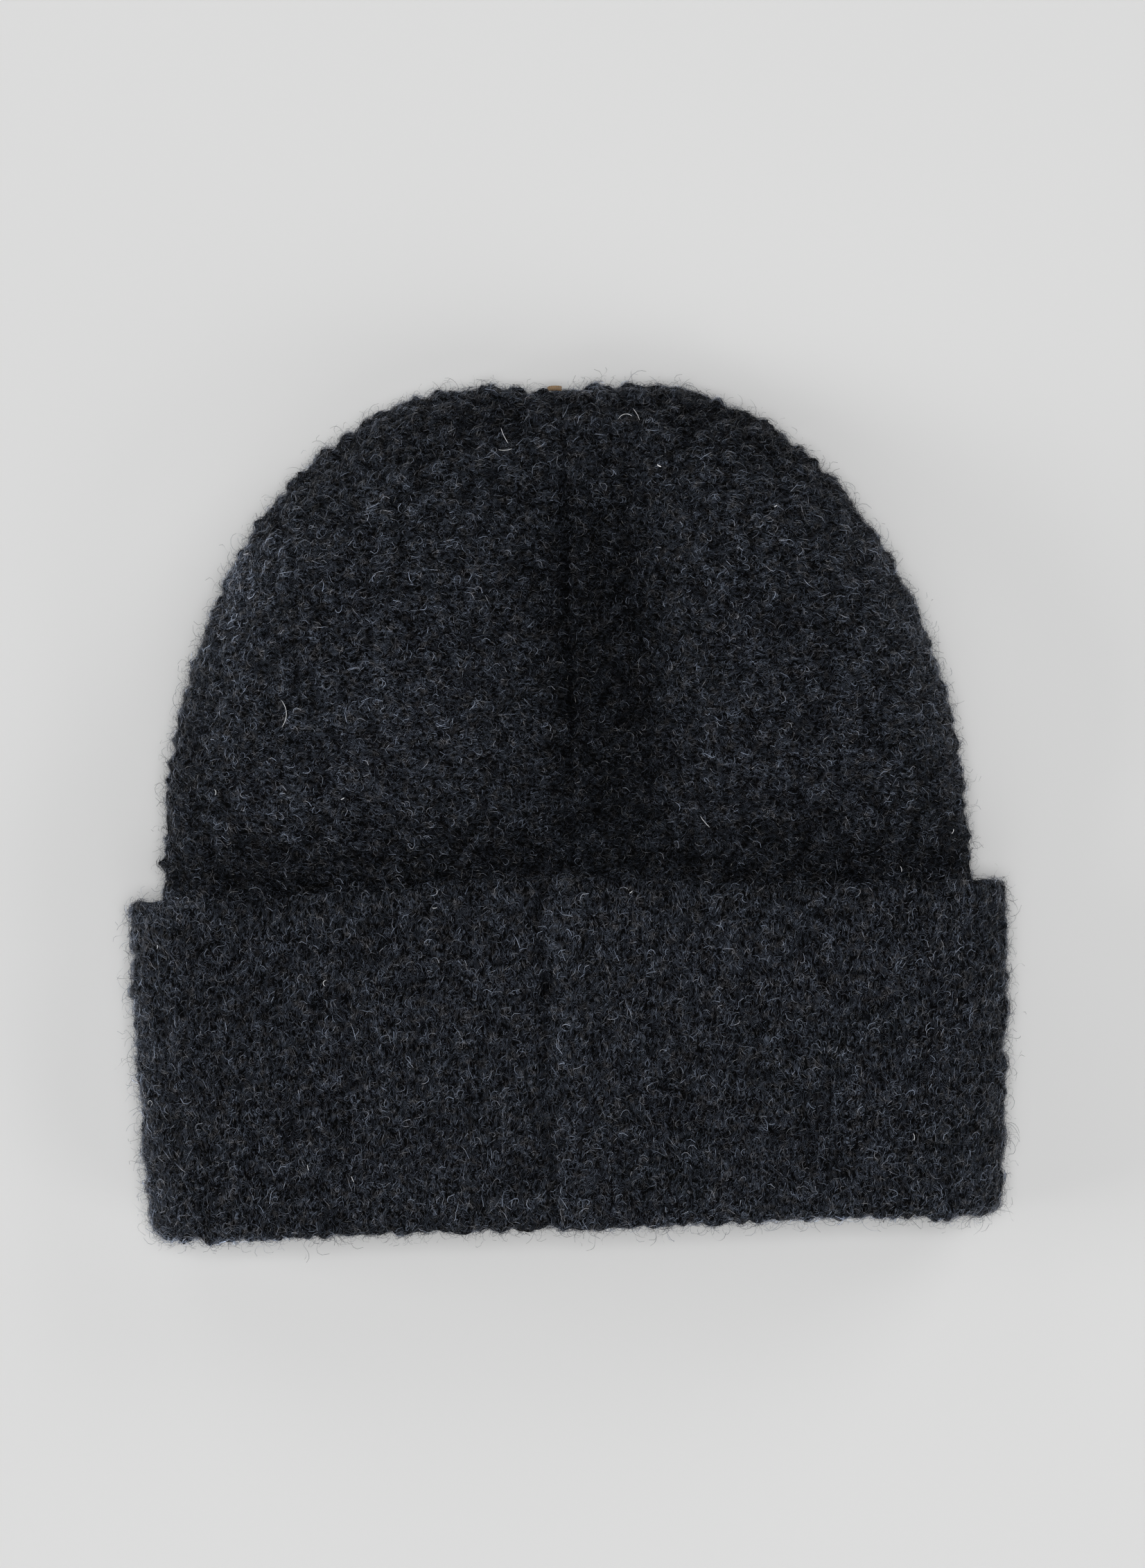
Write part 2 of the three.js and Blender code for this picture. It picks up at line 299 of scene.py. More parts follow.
knitLooks = {
    "crown": {"curl": 2.8 * mm, "strands": 15.0, "run": (0.85, 1.2, 1.0), "gapShade": 0.45},
    "cuff": {"curl": 3.0 * mm, "strands": 15.0, "run": (1.35, 0.7, 1.0), "gapShade": 0.55},
}
strandLayers = ((0.0, 1.0), (37.3, 0.6))      # shift of each layer, and how much of it shows
strandTone = {"bright": 5.0, "dark": 0.06, "gapKnob": 0.1, "fullKnob": 0.8,
              "relief": 0.25 * mm, "reliefStrength": 0.5}


# the knit's own surface: two layers of strands, with painted shade down between the curls
def knitMaterial(name, v):
    material, tree, shader, tone = woolMaterial(name + "Boucle", **woolSheen["knit"])
    layers = []
    for shift, part in strandLayers:
        values = {"Curl Size": v["curl"], "Strands": v["strands"], "Shift": shift}
        layer = put(tree, "ShaderNodeGroup", {}, node_tree=woolStrands)
        for label, value in values.items():
            layer.inputs[label].default_value = value
        layer.inputs["Run"].default_value = v["run"]
        layers.append(math2(tree, "MULTIPLY", layer.outputs["Strand"], part))
    strands = math2(tree, "MAXIMUM", *layers)
    knob = put(tree, "ShaderNodeAttribute", attribute_name="knob").outputs["Fac"]
    # painted shade: darker where the knob mark is low, between the knobs
    depth = ramp(tree, knob, strandTone["gapKnob"], strandTone["fullKnob"], v["gapShade"], 1.0)
    level = math2(tree, "MULTIPLY_ADD", strands, strandTone["bright"], strandTone["dark"])
    level = math2(tree, "MULTIPLY", level, depth)
    # painted shade and painted light carried by the fold mark
    fold = put(tree, "ShaderNodeAttribute", attribute_name="paintedShading").outputs["Fac"]
    level = math2(tree, "MULTIPLY", level, fold)
    tree.links.new(level, tone.inputs["Brightness"])
    relief = {"Height": strands, "Strength": strandTone["reliefStrength"], "Distance": strandTone["relief"]}
    bump = put(tree, "ShaderNodeBump", relief)
    tree.links.new(bump.outputs["Normal"], shader.inputs["Normal"])
    return material


# single fibres, each with its own shade
def fibreMaterial():
    material, tree, shader, tone = woolMaterial("boucleFibre", **woolSheen["fibre"])
    shade = put(tree, "ShaderNodeAttribute", attribute_name="shade").outputs["Fac"]
    tree.links.new(shade, tone.inputs["Brightness"])
    return material


knitMaterials = {name: knitMaterial(name, v) for name, v in knitLooks.items()}
fibre = fibreMaterial()


# knit walls: the frame's solids, made smooth and fine where they show, then raised into boucle bumps
# seamShade: painted shade darkening the seam groove
# sideSheen: painted sheen, the steep sides painted paler on the cuff and a little darker on the crown
skins = {
    "crown": {"node": "crown", "edge": 1.7 * mm, "column": 4.1 * mm, "row": 3.4 * mm, "depth": 1.5 * mm,
              "fine": 0.7 * mm, "seed": 3.0, "seamX": 1.6 * mm, "seamDepth": 1.3 * mm,
              "seamWidth": 1.9 * mm, "seamShade": 0.3, "lap": 0.0,
              "sideLoops": 5 * mm, "sideSheen": 0.95},
    "cuff": {"node": "cuff", "edge": 1.7 * mm, "column": 3.7 * mm, "row": 4.0 * mm, "depth": 1.1 * mm,
             "fine": 0.6 * mm, "seed": 11.0, "seamX": -6.5 * mm, "seamDepth": 1.4 * mm,
             "seamWidth": 2.6 * mm, "seamShade": 0.3, "lap": 0.9 * mm,
             "sideLoops": 5 * mm, "sideSheen": 1.15},
}
hollowHeight = 12 * mm      # middle height of the space inside the hat
undersideEdge = 2.2         # how much coarser the side that lies on the floor is
underCuff = 14 * mm         # how far the crown is still dressed below the cuff's edge
insideRim = 16 * mm         # how far the cuff is dressed on its inside
levelShare = 0.5            # how much of a normal's level part counts when telling outside from inside
# angles are in radians, and the last two are heights of a normal
smoothing = {"merge": 0.01 * mm, "faceAngle": 1.0, "shapeAngle": 3.1, "levels": 1, "halvings": 5,
             "turns": 4, "strength": 0.5, "softTurns": 3, "underside": -0.5, "paintedLightTo": -0.3}
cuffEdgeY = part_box("cuff")[1].y
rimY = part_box("cuff")[0].y


# painted shade in folds: how deep a spot lies in a fold, below the higher ground on both sides of it,
# across the hat or along it; the painted shade lies a little aside of the dent, and starts full in the
# crease past the cuff
folds = {"cell": 2 * mm, "reach": 44 * mm, "from": 1 * mm, "full": 11 * mm, "crease": 20 * mm,
         "creaseStart": 1.25, "softTurns": 2, "aside": 6 * mm, "darkest": 0.42}


# painted light: patches painted paler where the hat shows lit more: place across and along the hat,
# reach across and along, and how much paler
paintedLightRows = [
    (-54 * mm, 24 * mm, 28 * mm, 42 * mm, 0.24),
    (-24 * mm, 104 * mm, 30 * mm, 9 * mm, 0.25),
    (62 * mm, -112 * mm, 55 * mm, 8 * mm, 0.3),
]
# painted light on the folded edge at the left: how its border slants, and how much paler it is on each
# piece
paintedLightFold = {"reach": 16 * mm, "rise": 0.4, "crown": 1.1, "cuff": 2.1}
rayHeight = 1.0      # above everything, where rays start down


def hitsBelow(trees, x, y):
    above = Vector((x, y, rayHeight))
    return [tree.ray_cast(above, Vector((0, 0, -1)))[0] for tree in trees]


def topHeight(hits):
    return max((hit.z for hit in hits if hit), default=0.0)


def foldSampler(v):
    low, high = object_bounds()
    graph = bpy.context.evaluated_depsgraph_get()
    trees = [BVHTree.FromObject(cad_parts[node], graph) for node in ("crown", "cuff")]
    wide, long = (int((high[i] - low[i]) / v["cell"]) + 1 for i in (0, 1))
    ground = np.zeros((wide, long))
    pastCuff = np.full((wide, long), 1.0)      # how far a spot on the crown is from the cuff's edge
    for i in range(wide):
        for j in range(long):
            hits = hitsBelow(trees, low[0] + i * v["cell"], low[1] + j * v["cell"])
            ground[i, j] = topHeight(hits)
            if hits[1]:
                pastCuff[i, j:] = np.arange(long - j) * v["cell"]
                pastCuff[i, j] = 1.0
    depth = np.zeros_like(ground)
    for axis in (0, 1):
        before, after = ground.copy(), ground.copy()
        for step in range(1, int(v["reach"] / v["cell"])):
            before = np.maximum(before, np.roll(ground, step, axis))
            after = np.maximum(after, np.roll(ground, -step, axis))
        depth = np.maximum(depth, np.minimum(before, after) - ground)
    fold = np.clip((depth - v["from"]) / (v["full"] - v["from"]), 0, 1)
    fold = np.maximum(fold, np.clip(v["creaseStart"] - pastCuff / v["crease"], 0, 1))
    for turn in range(v["softTurns"]):      # soft borders
        fold = sum(np.roll(fold, (i, j), (0, 1)) for i in (-1, 0, 1) for j in (-1, 0, 1)) / 9

    # painted light: the folded edge at the left and the listed patches painted paler
    steps = int(paintedLightFold["reach"] / v["cell"])
    filled = np.pad(ground > 0, steps)
    paintedLight = np.zeros_like(ground)
    for step in range(steps, 0, -1):
        beside = np.roll(filled, (step, -round(step * paintedLightFold["rise"])), (0, 1))
        paintedLight[~beside[steps:-steps, steps:-steps]] = 1 - (step - 1) / steps
    across = low[0] + np.arange(wide)[:, None] * v["cell"]
    along = low[1] + np.arange(long)[None, :] * v["cell"]
    paintedLight *= np.where(along < cuffEdgeY, paintedLightFold["cuff"], paintedLightFold["crown"])
    for x, y, reachX, reachY, paler in paintedLightRows:
        paintedLight += paler * np.exp(-((across - x) / reachX) ** 2 - ((along - y) / reachY) ** 2)

    def readGrid(grid, x, y):
        i = min(max(round((x - low[0]) / v["cell"]), 0), wide - 1)
        j = min(max(round((y - low[1]) / v["cell"]), 0), long - 1)
        return float(grid[i, j])

    def foldShadeAt(co):
        return readGrid(fold, co.x - v["aside"], co.y)

    def paintedLightAt(co):
        return readGrid(paintedLight, co.x, co.y)

    return foldShadeAt, paintedLightAt


foldShadeAt, paintedLightAt = foldSampler(folds)


# 1 where the surface shows from outside or at the rim, 0 inside the hat and under the cuff
def shows(co, normal, node):
    outward = levelShare * co.x * normal.x + levelShare * co.y * normal.y + (co.z - hollowHeight) * normal.z
    if node == "crown":
        return outward > 0 and co.y > cuffEdgeY - underCuff
    return outward > 0 or co.y < rimY + insideRim


def smoothWall(node, longest, s):
    bm = bmesh.new()
    bm.from_mesh(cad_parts[node].data)
    bmesh.ops.remove_doubles(bm, verts=bm.verts, dist=s["merge"])
    bmesh.ops.join_triangles(bm, faces=bm.faces, angle_face_threshold=s["faceAngle"],
                             angle_shape_threshold=s["shapeAngle"])
    mesh = bpy.data.meshes.new(node + "Rough")
    bm.to_mesh(mesh)
    bm.free()
    rough = addPiece(node + "Rough", mesh)
    modifier = rough.modifiers.new("round", "SUBSURF")
    modifier.levels = modifier.render_levels = s["levels"]
    graph = bpy.context.evaluated_depsgraph_get()
    bm = bmesh.new()
    bm.from_mesh(bpy.data.meshes.new_from_object(rough.evaluated_get(graph), depsgraph=graph))
    bpy.data.objects.remove(rough)
    for turn in range(s["halvings"]):      # halves the long edges that show, until none is left
        bm.normal_update()
        shown = {v for v in bm.verts if shows(v.co, v.normal, node)}
        long = []
        for e in bm.edges:
            limit = longest if e.verts[0].normal.z > s["underside"] else longest * undersideEdge
            if e.verts[0] in shown and e.verts[1] in shown and e.calc_length() > limit:
                long.append(e)
        if not long:
            break
        bmesh.ops.subdivide_edges(bm, edges=long, cuts=1, use_grid_fill=True)
        bmesh.ops.triangulate(bm, faces=[f for f in bm.faces if len(f.verts) > 4])
    bmesh.ops.triangulate(bm, faces=bm.faces)
    shown = [v for v in bm.verts if shows(v.co, v.normal, node)]
    for turn in range(s["turns"]):
        bmesh.ops.smooth_vert(bm, verts=shown, factor=s["strength"],
                              use_axis_x=True, use_axis_y=True, use_axis_z=True)
    bm.normal_update()
    weight = bm.verts.layers.float.new("show")
    for v in bm.verts:
        v[weight] = 1.0 if shows(v.co, v.normal, node) else 0.0
    for turn in range(s["softTurns"]):      # soft borders
        soft = {}
        for v in bm.verts:
            if v.link_edges:
                around = sum(e.other_vert(v)[weight] for e in v.link_edges) / len(v.link_edges)
                soft[v] = 0.5 * v[weight] + 0.5 * around
        for v, value in soft.items():
            v[weight] = value
    # painted shade from the folds and the crease past the cuff, times the painted light, kept as a mark on
    # each point
    tone = bm.verts.layers.float.new("paintedShading")
    for v in bm.verts:
        v[tone] = 1 - (1 - folds["darkest"]) * (foldShadeAt(v.co) if v.normal.z > 0 else 0.0)
        v[tone] *= 1 + (paintedLightAt(v.co) if v.normal.z > s["paintedLightTo"] else 0.0)
    mesh = bpy.data.meshes.new(node)
    bm.to_mesh(mesh)
    bm.free()
    mesh.polygons.foreach_set("use_smooth", [True] * len(mesh.polygons))
    return mesh


# knobs, fine bumps, loops round the sides, the seam and its lap, painted sheen on the sides and a painted
# highlight on the lap; a scale counts waves to a metre
bumpForm = {
    "wanderScale": 90.0, "wander": 2.6 * mm, "smoothness": 0.35, "randomness": 0.8,
    "knobTop": 0.15, "knobFoot": 0.75, "highest": 0.6, "lowest": -0.5, "markGain": 0.9, "markMiddle": 0.45,
    "fineScale": 620.0, "fineDetail": 1.5,
    "loopScale": 210.0, "loopRoughness": 0.6, "loopMiddle": 0.46, "sideFull": 0.25, "sideEnd": 0.85,
    "seamScale": 70.0, "seamWaver": 5 * mm, "seamCore": 0.3 * mm, "topFrom": 0.1, "topFull": 0.5,
    "lapFrom": 0.8 * mm, "lapFull": 2.8 * mm, "lapFalls": 5 * mm, "lapEnds": 11 * mm, "lapHighlight": 0.3 / mm,
    "sheenSide": 0.3, "sheenTop": 0.95, "floorGap": 0.05 * mm,
}


def boucleBumpTree(v):
    labels = ("Column", "Row", "Depth", "Fine Depth", "Seed", "Seam X", "Seam Depth", "Seam Width",
              "Seam Shade", "Lap", "Side Loops", "Side Sheen")
    sizes = [(label, "Float") for label in labels] + [("Material", "Material")]
    tree, source, target = newGeoTree("boucleBumps", sizes)
    place = put(tree, "GeometryNodeInputPosition").outputs[0]
    normal = put(tree, "GeometryNodeInputNormal").outputs["Normal"]
    shift = put(tree, "ShaderNodeCombineXYZ", {2: source["Seed"]}).outputs[0]
    wander = noise(tree, place, v["wanderScale"], 1.0)["Color"]
    wander = {0: wander, "Scale": v["wander"]}
    wander = put(tree, "ShaderNodeVectorMath", wander, operation="SCALE").outputs[0]
    moved = put(tree, "ShaderNodeVectorMath", {0: place, 1: wander}, operation="ADD").outputs[0]
    pitch = put(tree, "ShaderNodeCombineXYZ", {0: source["Column"], 1: source["Row"], 2: source["Column"]})
    cell = put(tree, "ShaderNodeVectorMath", {0: moved, 1: pitch.outputs[0]}, operation="DIVIDE").outputs[0]
    cell = put(tree, "ShaderNodeVectorMath", {0: cell, 1: shift}, operation="ADD").outputs[0]
    knobs = {"Vector": cell, "Scale": 1.0, "Smoothness": v["smoothness"], "Randomness": v["randomness"]}
    knobs = put(tree, "ShaderNodeTexVoronoi", knobs, feature="SMOOTH_F1").outputs["Distance"]
    raised = ramp(tree, knobs, v["knobTop"], v["knobFoot"], v["highest"], v["lowest"], "SMOOTHSTEP")
    knob = math2(tree, "MULTIPLY_ADD", raised, v["markGain"], v["markMiddle"])
    up = put(tree, "ShaderNodeSeparateXYZ", {0: normal}).outputs[2]
    sideways = ramp(tree, math2(tree, "ABSOLUTE", up), v["sideFull"], v["sideEnd"], 1.0, 0.0)
    raised = math2(tree, "MULTIPLY", raised, source["Depth"])
    fine = noise(tree, moved, v["fineScale"], v["fineDetail"])["Fac"]
    fine = math2(tree, "MULTIPLY", math2(tree, "SUBTRACT", fine, 0.5), source["Fine Depth"])
    loops = noise(tree, place, v["loopScale"], 2.0, v["loopRoughness"])["Fac"]
    loops = math2(tree, "MULTIPLY", math2(tree, "SUBTRACT", loops, v["loopMiddle"]), source["Side Loops"])
    fine = math2(tree, "ADD", fine, math2(tree, "MULTIPLY", loops, sideways))
    # the seam: a drawn-in line that wanders, with the edge that laps over beside it
    waver = noise(tree, place, v["seamScale"], 2.0)["Fac"]
    waver = math2(tree, "MULTIPLY", math2(tree, "SUBTRACT", waver, 0.5), v["seamWaver"])
    placeX = put(tree, "ShaderNodeSeparateXYZ", {0: place}).outputs[0]
    aside = math2(tree, "SUBTRACT", math2(tree, "SUBTRACT", placeX, source["Seam X"]), waver)
    onTop = ramp(tree, up, v["topFrom"], v["topFull"])
    away = math2(tree, "ABSOLUTE", aside)
    groove = ramp(tree, away, v["seamCore"], source["Seam Width"], 1.0, 0.0, "SMOOTHSTEP")
    groove = math2(tree, "MULTIPLY", groove, onTop)
    begin = ramp(tree, aside, v["lapFrom"], v["lapFull"])
    lap = math2(tree, "MULTIPLY", begin, ramp(tree, aside, v["lapFalls"], v["lapEnds"], 1.0, 0.0))
    lap = math2(tree, "MULTIPLY", math2(tree, "MULTIPLY", lap, onTop), source["Lap"])
    sewn = math2(tree, "SUBTRACT", lap, math2(tree, "MULTIPLY", groove, source["Seam Depth"]))
    weight = readMark(tree, "show")
    height = math2(tree, "MULTIPLY", math2(tree, "ADD", math2(tree, "ADD", raised, fine), sewn), weight)
    fold = readMark(tree, "paintedShading")
    # painted shade in the seam groove and a painted highlight on the lapped edge
    darker = math2(tree, "MULTIPLY", groove, source["Seam Shade"])
    fold = math2(tree, "MULTIPLY", fold, math2(tree, "SUBTRACT", 1.0, darker))
    fold = math2(tree, "MULTIPLY", fold, math2(tree, "MULTIPLY_ADD", lap, v["lapHighlight"], 1.0))
    # painted sheen: the steep sides toned by the side value, as pile catches light at grazing angles
    sideSheen = ramp(tree, up, v["sheenSide"], v["sheenTop"], source["Side Sheen"], 1.0)
    fold = math2(tree, "MULTIPLY", fold, sideSheen)
    offset = put(tree, "ShaderNodeVectorMath", {0: normal, "Scale": height}, operation="SCALE").outputs[0]
    lifted = put(tree, "ShaderNodeVectorMath", {0: place, 1: offset}, operation="ADD").outputs[0]
    parts = put(tree, "ShaderNodeSeparateXYZ", {0: lifted}).outputs
    level = math2(tree, "MAXIMUM", parts[2], v["floorGap"])      # pressed flat where it lies on the surface
    flat = put(tree, "ShaderNodeCombineXYZ", {0: parts[0], 1: parts[1], 2: level}).outputs[0]
    marked = storeMark(tree, source["Geometry"], "knob", knob, "POINT")
    marked = storeMark(tree, marked, "paintedShading", fold, "POINT")
    shaped = put(tree, "GeometryNodeSetPosition", {"Geometry": marked, "Position": flat}).outputs[0]
    final = put(tree, "GeometryNodeSetMaterial", {"Geometry": shaped, "Material": source["Material"]})
    tree.links.new(final.outputs[0], target["Geometry"])
    return tree


bumpTree = boucleBumpTree(bumpForm)


def knitSkin(name, v):
    smooth = addPiece(name + "Smooth", smoothWall(v["node"], v["edge"], smoothing))
    values = {"Column": v["column"], "Row": v["row"], "Depth": v["depth"], "Fine Depth": v["fine"],
              "Seed": v["seed"], "Seam X": v["seamX"], "Seam Depth": v["seamDepth"],
              "Seam Width": v["seamWidth"], "Seam Shade": v["seamShade"], "Lap": v["lap"],
              "Side Loops": v["sideLoops"], "Side Sheen": v["sideSheen"],
              "Material": knitMaterials[name]}
    mesh = meshFromTree(smooth, bumpTree, values)
    bpy.data.objects.remove(smooth)
    skin = addPiece(name + "Knit", mesh)
    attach(skin, "root")
    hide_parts(v["node"])
    print(name, "knit:", len(mesh.polygons), "triangles")
    return skin


knitPieces = {name: knitSkin(name, v) for name, v in skins.items()}


# fibres of the yarn: curls that lie on the knit, and hairs that stand off it
fuzzes = [
    {"name": "crownCurls", "skin": "crown", "form": "curl", "perMm2": 0.345, "seed": 1,
     "length": 0.78, "width": 0.088 * mm, "shade": (0.6, 20.0), "way": 0.0, "swirl": 8.0,
     "spread": 0.9, "lean": 0.45, "clumping": 0.55, "edge": 3.0},
    {"name": "crownHairs", "skin": "crown", "form": "hair", "perMm2": 0.94, "seed": 2,
     "length": 0.8, "width": 0.1 * mm, "shade": (0.6, 17.0), "way": 0.0, "swirl": 8.0,
     "spread": 0.45, "lean": 0.28, "clumping": 0.65, "edge": 2.0},
    {"name": "cuffCurls", "skin": "cuff", "form": "curl", "perMm2": 0.365, "seed": 3,
     "length": 0.85, "width": 0.084 * mm, "shade": (0.6, 18.5), "way": 1.57, "swirl": 5.0,
     "spread": 0.9, "lean": 0.45, "clumping": 0.4, "edge": 3.0},
    {"name": "cuffHairs", "skin": "cuff", "form": "hair", "perMm2": 1.0, "seed": 4,
     "length": 0.9, "width": 0.095 * mm, "shade": (0.6, 16.0), "way": 1.57, "swirl": 4.5,
     "spread": 0.45, "lean": 0.28, "clumping": 0.5, "edge": 2.0},
    {"name": "crownWisps", "skin": "crown", "form": "wisp", "perMm2": 0.058, "seed": 5,
     "length": 0.9, "width": 0.06 * mm, "shade": (2.0, 9.0), "way": 0.0, "swirl": 20.0,
     "spread": 3.1, "lean": 0.7, "clumping": 0.0, "edge": 9.0},
    {"name": "cuffWisps", "skin": "cuff", "form": "wisp", "perMm2": 0.066, "seed": 6,
     "length": 0.95, "width": 0.06 * mm, "shade": (2.0, 9.0), "way": 0.0, "swirl": 20.0,
     "spread": 3.1, "lean": 0.7, "clumping": 0.0, "edge": 9.0},
]
# what all the fibres share: how many lie on the underside, how they gather on the knobs with painted shade
# off them, how their sizes and shades are spread, and the number of each random draw
fuzzForm = {
    "underShare": 0.12, "underTo": -0.7, "topFrom": -0.1, "edgeFull": 0.1, "edgeEnd": 0.8,
    "swirlScale": 230.0, "gather": 1.3, "knobShadeGain": 1.1, "knobShadeBase": 0.85,
    "smallest": 0.7, "sizeSpan": 0.9, "sizePower": 3.0, "shadePower": 3.5, "floorGap": 0.03 * mm,
    "draws": {"spin": 10, "leanX": 20, "leanY": 30, "size": 40, "shade": 50},
}


# one fibre as a narrow ribbon that twists and tapers
def ribbon(tree, curve, width, v):
    along = put(tree, "GeometryNodeSplineParameter").outputs["Factor"]
    fromMiddle = math2(tree, "ABSOLUTE", math2(tree, "SUBTRACT", along, 0.5))
    taper = ramp(tree, fromMiddle, v["taperFrom"], 0.5, 1.0, v["tip"])
    tilt = math2(tree, "MULTIPLY", along, v["twist"])
    curve = put(tree, "GeometryNodeSetCurveTilt", {"Curve": curve, "Tilt": tilt}).outputs[0]
    curve = put(tree, "GeometryNodeSetCurveRadius", {"Curve": curve, "Radius": taper}).outputs[0]
    edge = {"Start": (-0.5, 0, 0), "End": (0.5, 0, 0)}
    edge = put(tree, "GeometryNodeCurvePrimitiveLine", edge).outputs[0]
    wide = put(tree, "ShaderNodeCombineXYZ", {0: width, 1: 1.0, 2: 1.0}).outputs[0]
    edge = put(tree, "GeometryNodeTransform", {"Geometry": edge, "Scale": wide}).outputs[0]
    made = put(tree, "GeometryNodeCurveToMesh", {"Curve": curve, "Profile Curve": edge}).outputs[0]
    return put(tree, "GeometryNodeGeometryToInstance", {"Geometry": made}).outputs[0]


# shapes of one fibre, lying along +X on a surface at z 0, in millimetres: start, two handles, end
curlRows = [
    ((-0.7, -0.3, -0.5), (-0.9, 2.4, 0.9), (1.1, 2.3, 0.9), (0.8, -0.5, 0.3)),
    ((-0.5, 0.2, -0.5), (-2.0, 1.9, 0.8), (1.9, 2.6, 1.1), (0.9, -0.2, 0.9)),
    ((-0.9, 0.0, -0.5), (-0.2, -1.9, 1.2), (1.8, -1.6, 0.8), (0.6, 0.9, 0.5)),
    ((-1.2, -0.2, -0.5), (-0.9, 1.6, 1.0), (1.0, 1.7, 0.6), (1.3, 0.1, 0.1)),
    ((-0.4, -0.4, -0.5), (-2.4, 0.9, 0.8), (0.3, 3.0, 1.4), (1.2, 0.6, 1.3)),
]
hairRows = [
    ((-1.3, 0.0, -0.5), (-0.6, 0.5, 0.8), (0.5, 0.4, 0.8), (1.4, 0.0, 0.2)),
    ((-1.1, -0.2, -0.5), (-0.7, 0.4, 1.0), (0.6, 0.6, 0.7), (1.2, -0.1, 0.1)),
    ((-1.6, 0.0, -0.5), (-0.5, -0.5, 1.0), (0.4, -0.5, 0.6), (1.7, 0.1, 0.3)),
    ((-0.9, 0.1, -0.5), (-0.4, 0.4, 0.8), (0.6, 0.3, 1.0), (1.0, -0.2, 0.5)),
    ((-1.9, 0.0, -0.5), (-0.7, 0.4, 0.7), (0.7, 0.5, 0.9), (2.0, 0.0, 0.3)),
    ((-0.9, 0.0, -0.5), (-0.7, 0.4, 1.1), (0.3, 0.6, 1.3), (0.9, -0.2, 0.7)),
]
wispRows = [
    ((0.0, 0.0, -0.6), (0.2, 2.2, 1.6), (3.6, -1.6, 1.6), (2.6, 1.3, 2.9)),
    ((0.0, 0.0, -0.6), (-1.4, 1.6, 2.0), (1.8, 3.6, 2.6), (2.4, 0.3, 1.7)),
    ((0.0, 0.0, -0.6), (2.2, -1.4, 1.0), (2.6, 3.0, 2.4), (-0.4, 1.8, 2.9)),
    ((0.0, 0.0, -0.6), (0.4, 1.8, 2.6), (3.4, -0.6, 2.0), (4.4, 1.6, 1.6)),
]
# shapes of each form, and steps along one
fibreForms = {"curl": (curlRows, 5), "hair": (hairRows, 2), "wisp": (wispRows, 6)}
# turn of a ribbon from end to end in radians, where it starts to taper, and its width at the tips
fibreRibbon = {"twist": 1.9, "taperFrom": 0.2, "tip": 0.35}


def fibreShapes(tree, rows, steps):
    for row in rows:
        names = ("Start", "Start Handle", "End Handle", "End")
        values = {name: tuple(c * mm for c in point) for name, point in zip(names, row)}
        values["Resolution"] = steps
        yield put(tree, "GeometryNodeCurvePrimitiveBezierSegment", values).outputs[0]


